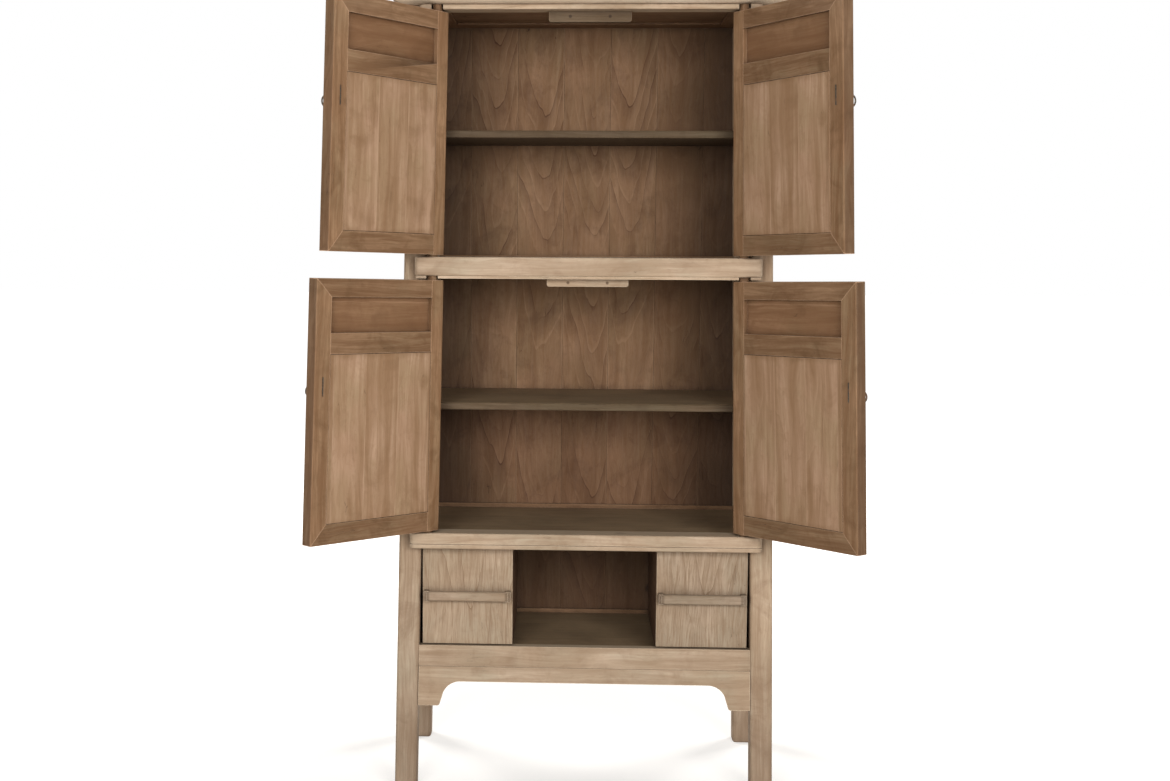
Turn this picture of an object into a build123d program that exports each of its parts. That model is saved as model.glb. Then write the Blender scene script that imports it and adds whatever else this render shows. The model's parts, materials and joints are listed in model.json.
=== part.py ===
from build123d import *
import math
import os

os.makedirs("parts", exist_ok=True)

# A tall two-storey cabinet on leaning legs, in millimetres. The origin is on the floor, midway
# between the four feet. X runs across the front, -Y is the front and +Z is up.

# Body and legs
body_depth = 462  # front of the front legs to back of the back legs
foot_half_width = 447.5  # centre line to the outside of a foot, on the floor
splay = 1.08  # lean of each side towards the centre, in degrees
leg_size = 52
leg_round = 8
foot_chamfer = 3

# Heights, stacked upwards
bottom_rail_z = 302
bottom_rail_height = 50
drawer_opening = 239
lower_rail_height = 37
lower_door_opening = 591
lip_height = 6
mid_rail_height = 43.5
upper_door_opening = 555.5
top_rail_height = 12

# Front rails that stand proud of the legs
rail_proud = 34
rail_tongue = 22  # part of a proud rail that runs back between the legs
rail_end_gap = 2  # from the leg's centre line to the rail's end
rail_end_round = 12
rail_arris = 4
top_rail_arris = 3
bead_height = 10
bead_size = 2
lip_setback = 2
lip_depth = 29
tenon_length = 24
tenon_thickness = 12

# Rails set between the legs
bottom_rail_setback = 6
bottom_rail_thickness = 24
side_rail_inset = 8
side_rail_thickness = 26
side_rail_height = 44
back_rail_setback = 25
back_rail_thickness = 26
back_rail_show = 10  # how far a back rail stands above its floor
back_rail_height = 42

# Apron under the bottom rail
apron_setback = 3
apron_thickness = 18
apron_arris = 2
apron_height = 36
bracket_drop = 95
bracket_width = 50
bracket_lean = 7
bracket_curve_height = 36
bracket_curve_width = 43
bracket_round = 6
side_apron_height = 32
side_apron_inset = 10

# Boards
groove = 8  # how far a board's edge sits in its groove
panel_thickness = 12
panel_inset = 14
floor_thickness = 12
floor_step = 13  # from a front rail's top down to its floor
plank_count = 7  # in each row
plank_width = 117
plank_seam = 0.6
plank_lap = 6  # the planks overlap by half their thickness
plank_lap_seam = 0.3
shelf_thickness = 17
upper_shelf_z = 1543
lower_shelf_z = 907
shelf_setback = 60
shelf_end_gap = 1
shelf_round = 3
cleat_size = 18
partition_x = 170  # centre line to a partition's face in the niche
partition_thickness = 18

# Cap
cap_thickness = 42
cap_curve_width = 40
cap_curve_height = 30
cap_top_round = 10
cap_side_overhang = 42
cap_back_overhang = 12
cap_member_width = 130
cap_panel_thickness = 18
cap_panel_lift = 4  # underside of the panel above the underside of the frame

# Door stops
stop_width = 187
stop_thickness = 20
stop_drop = 24
stop_round = 5
stop_clearance = 1

# Doors
door_thickness = 30
door_front_step = 2  # door's face behind the rails' face
door_gap = 3  # between the two free stiles
door_bottom_gap = 5
door_top_gap = 4
hinge_reach = 24  # pivot to the stile's outer edge
hinge_stile_width = 39
hinge_stile_round = 6
pivot_inset = 16.5  # leg's inner face to the pivot
pin_radius = 11
pin_length = 12  # how far a pin enters its rail
pin_clearance = 0.05
pin_end_clearance = 1
notch_clearance = 2.5
free_stile_width = 42
free_edge_round = 4
door_top_rail = 40
door_top_panel = 78
door_lock_rail = 46
door_bottom_rail = 45
door_panel_thickness = 9
door_panel_inset = 11
door_field_rise = 1  # how far the tall panel's field stands above its frame, inside
door_field_gap = 1
door_field_round = 1.5
door_groove = 7
door_tenon_length = 26
door_tenon_thickness = 10
door_tenon_shoulder = 11

# Angle at which each door stands open, in degrees
angle_upper_left = 126.5
angle_upper_right = 122
angle_lower_left = 131.5
angle_lower_right = 127

# Ring pulls
pull_x = 24
pull_above_middle = 57
plate_radius = 13
plate_rise = 4
plate_slope = 60  # in degrees from upright
eye_radius = 4.5
eye_wire = 1.5
eye_standoff = 12
ring_radius = 12
ring_wire = 1.8
pin_leg_length = 21
pin_leg_width = 2.2
pin_leg_thickness = 1.5

# Drawers
drawer_front_thickness = 20
drawer_front_setback = 14
drawer_front_gap = 3
drawer_front_lap = 1  # how far a front covers the edge of its partition
drawer_board = 10
drawer_bottom_thickness = 6
drawer_back_gap = 17
drawer_side_height = 190
drawer_back_drop = 20  # a drawer's back is lower than its sides
drawer_play = 1
drawer_leg_gap = 6
runner_gap = 0.5
runner_width = 16
guide_height = 18
grip_end_gap = 4
grip_block = 12
grip_block_height = 24
grip_bar_height = 22
grip_bar_thickness = 12
grip_finger_gap = 12
grip_above_middle = 1
grip_round = 5
grip_block_round = 2
grip_block_step = 3  # how far the bar stands in front of its end blocks

# Levels and planes worked out from the sizes above
tilt = math.radians(splay)
slope = math.tan(tilt)
notch_width = 2 * (pin_radius + notch_clearance)
pin_hole_depth = pin_length + pin_end_clearance
half_depth = body_depth / 2
front_y = -half_depth
lower_rail_z = bottom_rail_z + bottom_rail_height + drawer_opening
lower_opening_z = lower_rail_z + lower_rail_height
mid_lip_z = lower_opening_z + lower_door_opening
mid_rail_z = mid_lip_z + lip_height
upper_opening_z = mid_rail_z + mid_rail_height
top_rail_z = upper_opening_z + upper_door_opening
carcass_height = top_rail_z + top_rail_height
niche_floor_z = bottom_rail_z + bottom_rail_height - floor_step
lower_floor_z = lower_opening_z - floor_step
upper_floor_z = upper_opening_z - floor_step
leg_y = half_depth - leg_size / 2
rail_span = body_depth - 2 * leg_size  # between front and back leg
back_rail_y = half_depth - back_rail_setback - back_rail_thickness
plank_y = back_rail_y + (back_rail_thickness - panel_thickness) / 2
bottom_rail_y = front_y + bottom_rail_setback
pivot_y = front_y - rail_proud + door_front_step + door_thickness / 2
sides = {"left": -1, "right": 1}
ends = {"front": -1, "back": 1}


def outer_x(z):
    return foot_half_width - slope * z


def inner_x(z):
    return outer_x(z) - leg_size / math.cos(tilt)


def pivot_x(z):
    return inner_x(z) - pivot_inset


def lean_plane(side, x, z, y=0):
    # square to the lean of one side, with its own x to the right and y to the back
    across = (math.cos(tilt), 0, side * math.sin(tilt))
    up_the_lean = (-side * math.sin(tilt), 0, math.cos(tilt))
    return Plane(origin=(side * x, y, z), x_dir=across, z_dir=up_the_lean)


def side_plane(side, inset):
    # along the outside of one side, moved inwards: x from front to back, y up the lean
    outwards = (side * math.cos(tilt), 0, math.sin(tilt))
    return Plane(origin=(side * foot_half_width, 0, 0), x_dir=(0, side, 0), z_dir=outwards).offset(-inset)


def up_lean(z):
    # height above the floor as a length along the lean
    return z / math.cos(tilt)


def front_plane(y):
    # upright and facing the front: x to the right, y upwards
    return Plane(origin=(0, y, 0), x_dir=(1, 0, 0), z_dir=(0, -1, 0))


def save(piece, name):
    piece.label = name
    export_step(piece, f"parts/{name}.step")


# Legs before their mortises are cut
def leg_blank(side, end):
    start_z = -leg_size
    with BuildPart() as blank:
        with BuildSketch(lean_plane(side, outer_x(start_z), start_z)):
            with Locations((-side * leg_size / 2, end * leg_y)):
                RectangleRounded(leg_size, leg_size, leg_round)
        extrude(amount=up_lean(carcass_height + 2 * leg_size))
        split(bisect_by=Plane.XY, keep=Keep.TOP)
        split(bisect_by=Plane.XY.offset(carcass_height), keep=Keep.BOTTOM)
        chamfer(blank.edges().group_by(Axis.Z)[0], foot_chamfer)
    return blank.part


blanks = {}
for side_name, side in sides.items():
    for end_name, end in ends.items():
        blanks[end_name, side_name] = leg_blank(side, end)
front_blanks = [blanks["front", side_name] for side_name in sides]
back_blanks = [blanks["back", side_name] for side_name in sides]
all_blanks = front_blanks + back_blanks


# Floors, which the rails around them take in grooves
def floor_board(top_z, front_rail_back):
    half_width = outer_x(top_z) - side_rail_inset - side_rail_thickness + groove
    front_edge = front_rail_back - groove
    back_edge = back_rail_y + groove
    with BuildPart() as floor:
        with BuildSketch(Plane.XY.offset(top_z)):
            with Locations((0, (front_edge + back_edge) / 2)):
                Rectangle(2 * half_width, back_edge - front_edge)
        extrude(amount=-floor_thickness)
        for blank in all_blanks:
            add(blank, mode=Mode.SUBTRACT)
    return floor.part


niche_floor = floor_board(niche_floor_z, bottom_rail_y + bottom_rail_thickness)
lower_floor = floor_board(lower_floor_z, front_y + rail_tongue)
upper_floor = floor_board(upper_floor_z, front_y + rail_tongue)
save(niche_floor, "niche_floor")
save(lower_floor, "lower_floor")
save(upper_floor, "upper_floor")


# Proud front rails, which house the door pivots
def proud_outline(reach, depth, inset):
    with BuildSketch(mode=Mode.PRIVATE) as outline:
        with Locations((0, front_y - rail_proud + inset + depth / 2)):
            Rectangle(2 * (reach - inset), depth)
        fillet(outline.vertices().group_by(Axis.Y)[0], rail_end_round - inset)
    return outline.sketch


def rail_reach(z):
    return inner_x(z) + leg_size / 2 - rail_end_gap


def pivot_bore(side, z, depth):
    # a socket for a door pin, down into a rail for a negative depth, else up
    overcut = math.copysign(1, depth)
    with BuildSketch(lean_plane(side, pivot_x(z), z - overcut, pivot_y)) as bore:
        Circle(pin_radius + pin_clearance)
    extrude(bore.sketch, amount=depth + overcut, mode=Mode.SUBTRACT)


def proud_rail(z, height, arris, floor=None, bead=False):
    reach = rail_reach(z)
    tongue_y = front_y + rail_tongue / 2
    with BuildPart() as rail:
        with BuildSketch(Plane.XY.offset(z)):
            add(proud_outline(reach, rail_proud, 0))
        extrude(amount=height)
        rim = rail.edges().group_by(Axis.Z)[-1].sort_by(Axis.Y)[:-1]
        rim += rail.edges().group_by(Axis.Z)[0].sort_by(Axis.Y)[:-1]
        fillet(rim, arris)
        if bead:
            with BuildSketch(Plane.XY.offset(z + bead_height)):
                add(proud_outline(reach, rail_proud, 0))
                add(proud_outline(reach, rail_proud, bead_size), mode=Mode.SUBTRACT)
            extrude(amount=bead_size, mode=Mode.SUBTRACT)
        with BuildSketch(Plane.XY.offset(z)):
            with Locations((0, tongue_y)):
                Rectangle(2 * reach, rail_tongue)
        extrude(amount=height)
        for blank in front_blanks:
            add(blank, mode=Mode.SUBTRACT)
        with BuildSketch(Plane.XY.offset(z)):
            with Locations((0, tongue_y)):
                Rectangle(2 * (inner_x(z) + tenon_length), tenon_thickness)
        extrude(amount=height)
        if floor:
            add(floor, mode=Mode.SUBTRACT)
    return rail.part


lower_rail_blank = proud_rail(lower_rail_z, lower_rail_height, rail_arris, floor=lower_floor, bead=True)
mid_rail_blank = proud_rail(mid_rail_z, mid_rail_height, rail_arris, floor=upper_floor)
top_rail_blank = proud_rail(top_rail_z, top_rail_height, top_rail_arris)

with BuildPart() as lower_rail:
    add(lower_rail_blank)
    for side in sides.values():
        pivot_bore(side, lower_opening_z, -pin_hole_depth)
save(lower_rail.part, "lower_rail")

with BuildPart() as mid_rail:
    add(mid_rail_blank)
    for side in sides.values():
        pivot_bore(side, upper_opening_z, -pin_hole_depth)
        pivot_bore(side, mid_rail_z, pin_hole_depth)
save(mid_rail.part, "mid_rail")

# The thin top rail and the lip under the middle rail are notched, for the doors' pins to pass up
def pin_notches(z):
    with BuildSketch(Plane.XY.offset(z), mode=Mode.PRIVATE) as notches:
        for side in sides.values():
            with Locations((side * pivot_x(z), front_y - rail_proud)):
                Rectangle(notch_width, 2 * rail_proud)
    return notches.sketch


with BuildPart() as top_rail:
    add(top_rail_blank)
    extrude(pin_notches(top_rail_z), amount=top_rail_height, mode=Mode.SUBTRACT)
save(top_rail.part, "top_rail")

with BuildPart() as mid_lip:
    with BuildSketch(Plane.XY.offset(mid_lip_z)):
        add(proud_outline(rail_reach(mid_lip_z), lip_depth, lip_setback))
    extrude(amount=lip_height)
    extrude(pin_notches(mid_lip_z), amount=lip_height, mode=Mode.SUBTRACT)
save(mid_lip.part, "mid_lip")

# Bottom rail, between the front legs
with BuildPart() as bottom_rail:
    with BuildSketch(Plane.XY.offset(bottom_rail_z)):
        with Locations((0, bottom_rail_y + bottom_rail_thickness / 2)):
            Rectangle(2 * inner_x(bottom_rail_z), bottom_rail_thickness)
    extrude(amount=bottom_rail_height)
    for blank in front_blanks:
        add(blank, mode=Mode.SUBTRACT)
    with BuildSketch(Plane.XY.offset(bottom_rail_z)):
        with Locations((0, bottom_rail_y + bottom_rail_thickness / 2)):
            Rectangle(2 * (inner_x(bottom_rail_z) + tenon_length), tenon_thickness)
    extrude(amount=bottom_rail_height)
    add(niche_floor, mode=Mode.SUBTRACT)
save(bottom_rail.part, "bottom_rail")

# Apron with a curved bracket at each end
apron_bottom = bottom_rail_z - apron_height
bracket_bottom = bottom_rail_z - bracket_drop
bracket_x = inner_x(bracket_bottom) - bracket_width
curve_x = bracket_x - bracket_lean - bracket_curve_width
curve_z = apron_bottom - bracket_curve_height
with BuildPart() as apron:
    with BuildSketch(front_plane(front_y + apron_setback)) as apron_outline:
        with BuildLine():
            for side in sides.values():
                leg_top = (side * inner_x(bottom_rail_z), bottom_rail_z)
                leg_bottom = (side * inner_x(bracket_bottom), bracket_bottom)
                tip = (side * bracket_x, bracket_bottom)
                curve_start = (side * (bracket_x - bracket_lean), curve_z)
                curve_end = (side * curve_x, apron_bottom)
                Polyline((0, bottom_rail_z), leg_top, leg_bottom, tip, curve_start)
                TangentArc(curve_end, curve_start, tangent=(side, 0), tangent_from_first=True)
                Line(curve_end, (0, apron_bottom))
        make_face()
        tips = apron_outline.vertices().filter_by_position(Axis.Y, bracket_bottom - 1, bracket_bottom + 1)
        fillet(tips.sort_by(Axis.X)[1:3], bracket_round)
    extrude(amount=-apron_thickness)
    fillet(apron.edges().group_by(Axis.Z)[-1].group_by(Axis.Y)[0], apron_arris)
    for blank in front_blanks:
        add(blank, mode=Mode.SUBTRACT)
save(apron.part, "apron")


# Side rails and panels, built in the leaning plane of each side
side_rail_levels = [
    bottom_rail_z + bottom_rail_height - side_rail_height,
    lower_opening_z - side_rail_height,
    upper_opening_z - side_rail_height,
]


def side_bar(side, inset, thickness, length, bottom, height):
    # a board along one side, a given way in from the outside of the legs
    with BuildSketch(side_plane(side, inset)) as bar:
        with Locations((0, up_lean(bottom + height / 2))):
            Rectangle(length, up_lean(height))
    extrude(bar.sketch, amount=-thickness)


panel_tops = side_rail_levels[1:] + [carcass_height]
with BuildPart() as side_panels:
    for side in sides.values():
        for rail_level, panel_top in zip(side_rail_levels, panel_tops):
            panel_bottom = rail_level + side_rail_height - groove
            panel_height = panel_top + groove - panel_bottom
            side_bar(side, panel_inset, panel_thickness, rail_span + 2 * groove, panel_bottom, panel_height)
    split(bisect_by=Plane.XY.offset(carcass_height + groove), keep=Keep.BOTTOM)
save(side_panels.part, "side_panels")


with BuildPart() as side_rails:
    tenon_inset = side_rail_inset + (side_rail_thickness - tenon_thickness) / 2
    for side in sides.values():
        for level in side_rail_levels:
            side_bar(side, side_rail_inset, side_rail_thickness, rail_span, level, side_rail_height)
            side_bar(side, tenon_inset, tenon_thickness, rail_span + 2 * tenon_length, level, side_rail_height)
    for board in (niche_floor, lower_floor, upper_floor, side_panels.part):
        add(board, mode=Mode.SUBTRACT)
    for rail in (lower_rail.part, mid_rail.part, bottom_rail.part):
        add(rail, mode=Mode.SUBTRACT)
save(side_rails.part, "side_rails")

with BuildPart() as side_aprons:
    apron_level = side_rail_levels[0] - side_apron_height
    for side in sides.values():
        side_bar(side, side_apron_inset, apron_thickness, rail_span, apron_level, side_apron_height)
    add(side_rails.part, mode=Mode.SUBTRACT)
save(side_aprons.part, "side_aprons")


# Back rails and planks
back_rail_levels = [
    niche_floor_z + back_rail_show - back_rail_height,
    lower_floor_z + back_rail_show - back_rail_height,
    upper_floor_z + back_rail_show - back_rail_height,
]
plank_tops = back_rail_levels[1:] + [carcass_height]

with BuildPart() as plank_rows:
    for rail_level, top in zip(back_rail_levels, plank_tops):
        bottom = rail_level + back_rail_height
        with BuildSketch(front_plane(plank_y)):
            with BuildLine():
                Polyline(
                    (-inner_x(bottom - groove) - groove, bottom - groove),
                    (inner_x(bottom - groove) + groove, bottom - groove),
                    (inner_x(top + groove) + groove, top + groove),
                    (-inner_x(top + groove) - groove, top + groove),
                    close=True,
                )
            make_face()
        extrude(amount=-panel_thickness)

# Each plank laps over the next, so that no light comes through when the wood shrinks
with BuildPart() as back_boards:
    add(plank_rows.part)
    with BuildSketch():
        half_plank = panel_thickness / 2
        with GridLocations(plank_width, 0, plank_count - 1, 1):
            with Locations((0, plank_y + half_plank / 2)):
                Rectangle(plank_seam, half_plank)
            with Locations((plank_lap, plank_y + half_plank * 3 / 2)):
                Rectangle(plank_seam, half_plank)
            with Locations((plank_lap / 2, plank_y + half_plank)):
                Rectangle(plank_lap + plank_seam, plank_lap_seam)
    extrude(amount=carcass_height + 2 * groove, mode=Mode.SUBTRACT)
save(back_boards.part, "back_boards")

with BuildPart() as back_rails:
    for level in back_rail_levels:
        with BuildSketch(Plane.XY.offset(level)):
            with Locations((0, back_rail_y + back_rail_thickness / 2)):
                Rectangle(2 * inner_x(level), back_rail_thickness)
        extrude(amount=back_rail_height)
    for blank in back_blanks:
        add(blank, mode=Mode.SUBTRACT)
    for level in back_rail_levels:
        with BuildSketch(Plane.XY.offset(level)):
            with Locations((0, back_rail_y + back_rail_thickness / 2)):
                Rectangle(2 * (inner_x(level) + tenon_length), tenon_thickness)
        extrude(amount=back_rail_height)
    for board in (niche_floor, lower_floor, upper_floor, plank_rows.part, side_rails.part):
        add(board, mode=Mode.SUBTRACT)
save(back_rails.part, "back_rails")

# Legs with every mortise and groove that the rails and boards need
joined = [lower_rail, mid_rail, top_rail, bottom_rail, side_rails, side_panels, back_rails, plank_rows]
for side_name in sides:
    for end_name in ends:
        with BuildPart() as leg:
            add(blanks[end_name, side_name])
            for piece in joined:
                add(piece.part, mode=Mode.SUBTRACT)
        save(leg.part, f"leg_{end_name}_{side_name}")


# Shelves on cleats
def shelf_board(z):
    half_width = outer_x(z + shelf_thickness) - panel_inset - panel_thickness - shelf_end_gap
    front_edge = front_y + shelf_setback
    with BuildPart() as shelf:
        with BuildSketch(Plane.XY.offset(z)):
            with Locations((0, (front_edge + plank_y) / 2)):
                Rectangle(2 * half_width, plank_y - front_edge)
        extrude(amount=shelf_thickness)
        fillet(shelf.faces().sort_by(Axis.Y)[0].edges().filter_by(Axis.X), shelf_round)
        for blank in all_blanks:
            add(blank, mode=Mode.SUBTRACT)
    return shelf.part


upper_shelf = shelf_board(upper_shelf_z)
lower_shelf = shelf_board(lower_shelf_z)
save(upper_shelf, "upper_shelf")
save(lower_shelf, "lower_shelf")

with BuildPart() as shelf_cleats:
    cleat_inset = panel_inset + panel_thickness
    for side in sides.values():
        for shelf_z in (upper_shelf_z, lower_shelf_z):
            side_bar(side, cleat_inset, cleat_size, rail_span, shelf_z - cleat_size, cleat_size + shelf_end_gap)
    for shelf in (upper_shelf, lower_shelf):
        add(shelf, mode=Mode.SUBTRACT)
save(shelf_cleats.part, "shelf_cleats")

# Door stops under the top rail and under the middle rail
door_back_y = pivot_y + door_thickness / 2
stop_y = door_back_y + stop_clearance
with BuildPart() as door_stops:
    for stop_top in (top_rail_z, mid_rail_z):
        with BuildSketch(front_plane(stop_y)) as stop_outline:
            with Locations((0, stop_top - stop_drop / 2)):
                Rectangle(stop_width, stop_drop)
            fillet(stop_outline.vertices().group_by(Axis.Y)[0], stop_round)
        extrude(amount=-stop_thickness)
    add(mid_lip.part, mode=Mode.SUBTRACT)
save(door_stops.part, "door_stops")

# Partitions between the niche and the drawers
drawer_front_y = front_y + drawer_front_setback
box_front_y = drawer_front_y + drawer_front_thickness
partition_front = box_front_y + drawer_play
partition_top = lower_floor_z - floor_thickness
with BuildPart() as partitions:
    with BuildSketch(Plane.XY.offset(niche_floor_z)):
        for side in sides.values():
            with Locations((side * (partition_x + partition_thickness / 2), (partition_front + back_rail_y) / 2)):
                Rectangle(partition_thickness, back_rail_y - partition_front)
    extrude(amount=partition_top - niche_floor_z)
save(partitions.part, "partitions")

# Cap: mitred frame with a moulded edge, round a floating panel
cap_half_width = outer_x(carcass_height) + cap_side_overhang
cap_front_y = front_y - rail_proud - cap_curve_width
cap_back_y = half_depth + cap_back_overhang
cap_depth = cap_back_y - cap_front_y
cap_centre_y = (cap_front_y + cap_back_y) / 2
cap_opening_width = 2 * (cap_half_width - cap_member_width)
cap_opening_depth = cap_depth - 2 * cap_member_width

with BuildPart() as cap_panel:
    with BuildSketch(Plane.XY.offset(carcass_height + cap_panel_lift)):
        with Locations((0, cap_centre_y)):
            Rectangle(cap_opening_width + 2 * groove, cap_opening_depth + 2 * groove)
    extrude(amount=cap_panel_thickness)
save(cap_panel.part, "cap_panel")


def cap_member(origin, along, outwards, length):
    # one frame member with its moulding outwards, mitred at both ends
    curve_top = cap_curve_height
    section_plane = Plane(origin=origin, x_dir=outwards, z_dir=along)
    if section_plane.y_dir.Z < 0:
        section_plane = Plane(origin=origin, x_dir=outwards, z_dir=tuple(-value for value in along))
    with BuildPart() as member:
        with BuildSketch(section_plane):
            with BuildLine():
                flat_end = cap_member_width - cap_curve_width
                round_start = cap_thickness - cap_top_round
                Line((0, 0), (flat_end, 0))
                EllipticalCenterArc((flat_end, curve_top), cap_curve_width, curve_top, start_angle=270, arc_size=90)
                Line((cap_member_width, curve_top), (cap_member_width, round_start))
                RadiusArc((cap_member_width, round_start), (cap_member_width - cap_top_round, cap_thickness), -cap_top_round)
                Polyline((cap_member_width - cap_top_round, cap_thickness), (0, cap_thickness), (0, 0))
            make_face()
        extrude(amount=length / 2, both=True)
        for direction in (-1, 1):
            along_vector = Vector(*along) * direction
            inner_end = Vector(*origin) + along_vector * (length / 2 - cap_member_width)
            mitre_normal = along_vector - Vector(*outwards)
            split(bisect_by=Plane(origin=inner_end, z_dir=mitre_normal), keep=Keep.BOTTOM)
        for board in (cap_panel, side_panels, plank_rows):
            add(board.part, mode=Mode.SUBTRACT)
    return member.part


cap_width = 2 * cap_half_width
front_inner = (0, cap_front_y + cap_member_width, carcass_height)
back_inner = (0, cap_back_y - cap_member_width, carcass_height)
with BuildPart() as cap_front:
    add(cap_member(front_inner, (1, 0, 0), (0, -1, 0), cap_width))
    for side in sides.values():
        pivot_bore(side, carcass_height, pin_hole_depth)
save(cap_front.part, "cap_front")
save(cap_member(back_inner, (1, 0, 0), (0, 1, 0), cap_width), "cap_back")
for side_name, side in sides.items():
    side_inner = (side * (cap_half_width - cap_member_width), cap_centre_y, carcass_height)
    save(cap_member(side_inner, (0, 1, 0), (side, 0, 0), cap_depth), f"cap_{side_name}")

# Drawers with their runners and guides
drawer_bottom_z = bottom_rail_z + bottom_rail_height + drawer_front_gap
drawer_front_height = drawer_opening - 2 * drawer_front_gap
drawer_front_x = partition_x - drawer_front_lap
drawer_front_width = inner_x(lower_rail_z) - drawer_front_gap - drawer_front_x
grip_length = drawer_front_width - 2 * grip_end_gap
box_inner_x = partition_x + partition_thickness + drawer_play
box_outer_x = inner_x(lower_rail_z) - drawer_leg_gap
box_bottom_z = drawer_bottom_z
runner_top = box_bottom_z - runner_gap
box_width = box_outer_x - box_inner_x
box_centre_x = (box_outer_x + box_inner_x) / 2
drawer_depth = back_rail_y - drawer_back_gap - box_front_y

with BuildPart() as drawer_runners:
    runner_front = bottom_rail_y + bottom_rail_thickness
    runner_length = back_rail_y - runner_front
    with BuildSketch(Plane.XY.offset(niche_floor_z)):
        for side in sides.values():
            for x in (box_inner_x + runner_width / 2, box_outer_x - runner_width / 2):
                with Locations((side * x, runner_front + runner_length / 2)):
                    Rectangle(runner_width, runner_length)
    extrude(amount=runner_top - niche_floor_z)
    with BuildSketch(Plane.XY.offset(niche_floor_z)):
        for side in sides.values():
            with Locations((side * (box_outer_x + drawer_play + runner_width / 2), 0)):
                Rectangle(runner_width, rail_span)
    extrude(amount=runner_top - niche_floor_z + guide_height)
save(drawer_runners.part, "drawer_runners")

for side_name, side in sides.items():
    front_centre_x = side * (drawer_front_x + drawer_front_width / 2)
    with BuildPart() as drawer_front:
        with BuildSketch(front_plane(drawer_front_y)):
            with Locations((front_centre_x, drawer_bottom_z + drawer_front_height / 2)):
                Rectangle(drawer_front_width, drawer_front_height)
        extrude(amount=-drawer_front_thickness)
    save(drawer_front.part, f"drawer_front_{side_name}")

    with BuildPart() as drawer_box:
        with BuildSketch(Plane.XY.offset(box_bottom_z)):
            with Locations((side * box_centre_x, box_front_y + drawer_depth / 2)):
                Rectangle(box_width, drawer_depth)
                Rectangle(box_width - 2 * drawer_board, drawer_depth, mode=Mode.SUBTRACT)
        extrude(amount=drawer_side_height)
        with BuildSketch(Plane.XY.offset(box_bottom_z)):
            with Locations((side * box_centre_x, box_front_y + drawer_depth - drawer_board / 2)):
                Rectangle(box_width - 2 * drawer_board, drawer_board)
        extrude(amount=drawer_side_height - drawer_back_drop)
        with BuildSketch(Plane.XY.offset(box_bottom_z + drawer_board)):
            with Locations((side * box_centre_x, box_front_y + (drawer_depth - drawer_board) / 2)):
                Rectangle(box_width - 2 * drawer_board, drawer_depth - drawer_board)
        extrude(amount=drawer_bottom_thickness)
    save(drawer_box.part, f"drawer_box_{side_name}")

    grip_z = drawer_bottom_z + drawer_front_height / 2 + grip_above_middle
    with BuildPart() as drawer_grip:
        with BuildSketch(front_plane(drawer_front_y - grip_finger_gap)):
            with Locations((front_centre_x, grip_z)):
                Rectangle(grip_length - grip_block, grip_bar_height)
        extrude(amount=grip_bar_thickness)
        fillet(drawer_grip.edges().filter_by(Axis.X).group_by(Axis.Y)[0], grip_round)
        with BuildSketch(front_plane(drawer_front_y)):
            with Locations((front_centre_x, grip_z)):
                with GridLocations(grip_length - grip_block, 0, 2, 1):
                    RectangleRounded(grip_block, grip_block_height, grip_block_round)
        extrude(amount=grip_finger_gap + grip_bar_thickness - grip_block_step)
    save(drawer_grip.part, f"drawer_grip_{side_name}")


# Doors, drawn closed on a plane that is then swung open about the leaning pivot line
def swing(side, angle):
    hinge = lean_plane(side, pivot_x(0), 0, pivot_y).location
    return hinge * Location((0, 0, 0), (0, 0, side * angle)) * hinge.inverse()


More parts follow.
